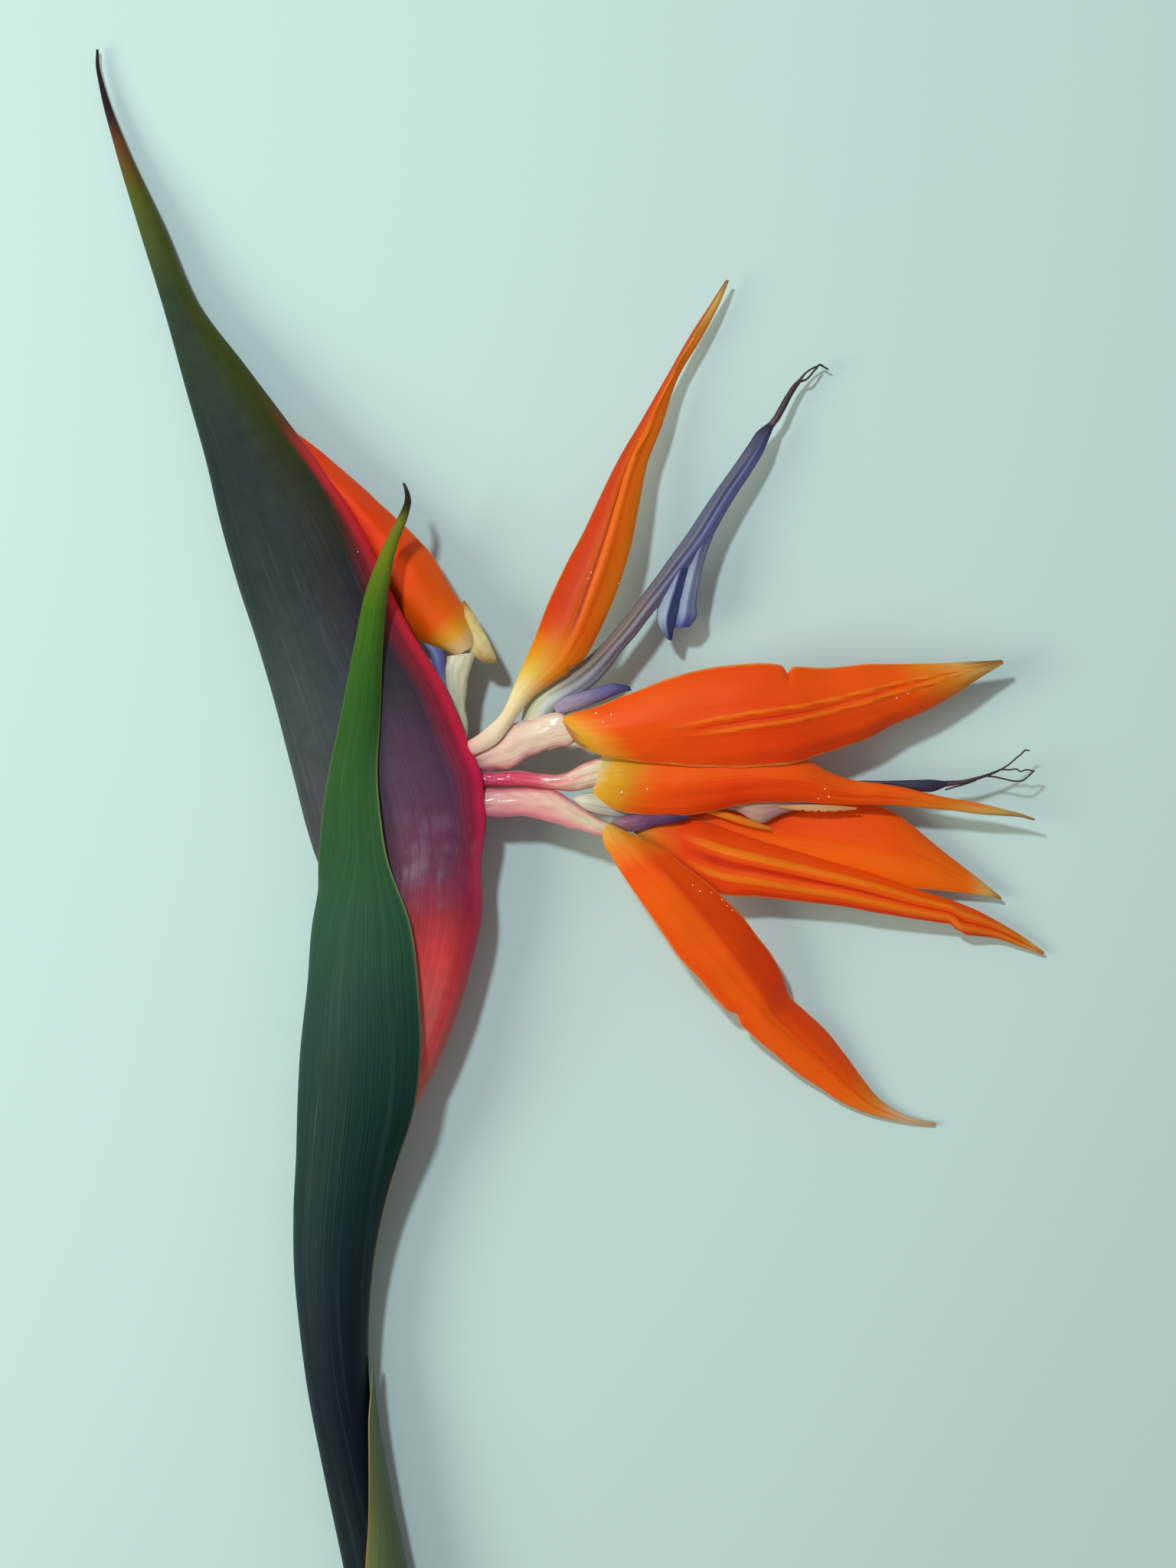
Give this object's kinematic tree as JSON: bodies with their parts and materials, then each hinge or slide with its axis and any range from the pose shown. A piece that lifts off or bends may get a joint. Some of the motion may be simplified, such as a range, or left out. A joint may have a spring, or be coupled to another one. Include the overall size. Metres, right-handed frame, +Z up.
{
  "type": "bird of paradise flower",
  "caption": "Cut bird of paradise flower stem lying on its side, with a boat-shaped spathe, orange sepals and violet arrow petals.",
  "frame": {"origin": "middle of the bottom of the flower's bounding box, on the surface that the stem lies on", "axes": "+X towards the tips of the sepals, +Y along the stem from its cut end to the tip of the spathe, +Z up from the surface"},
  "size_m": [0.1857, 0.3607, 0.021],
  "materials": {
    "spathe_skin": "waxy satin",
    "upper_sheath_skin": "waxy satin",
    "lower_sheath_skin": "satin",
    "stem_flesh": "matte, moist where it is cut",
    "orange_sepal": "waxy gloss",
    "violet_petal": "satin",
    "pink_pedicel": "moist gloss",
    "cream_pedicel": "moist gloss",
    "dark_style": "satin"
  },
  "bodies": {
    "root": {"spathe": "spathe_skin", "upper_sheath": "upper_sheath_skin", "lower_sheath": "lower_sheath_skin", "peduncle": "stem_flesh", "sepal_1_tucked": "orange_sepal", "sepal_2_upright": "orange_sepal", "sepal_2_broad": "orange_sepal", "sepal_2_back": "orange_sepal", "sepal_3_rolled": "orange_sepal", "sepal_3_middle": "orange_sepal", "sepal_3_lower": "orange_sepal", "petal_1": "violet_petal", "nectary_petal_2": "violet_petal", "nectary_petal_3": "violet_petal", "arrow_petals_2": "violet_petal", "arrow_petals_3": "violet_petal", "style_2": "dark_style", "style_3": "dark_style", "pedicel_1": "cream_pedicel", "pedicel_2": "pink_pedicel", "pedicel_3": "pink_pedicel"}
  },
  "joints": []
}
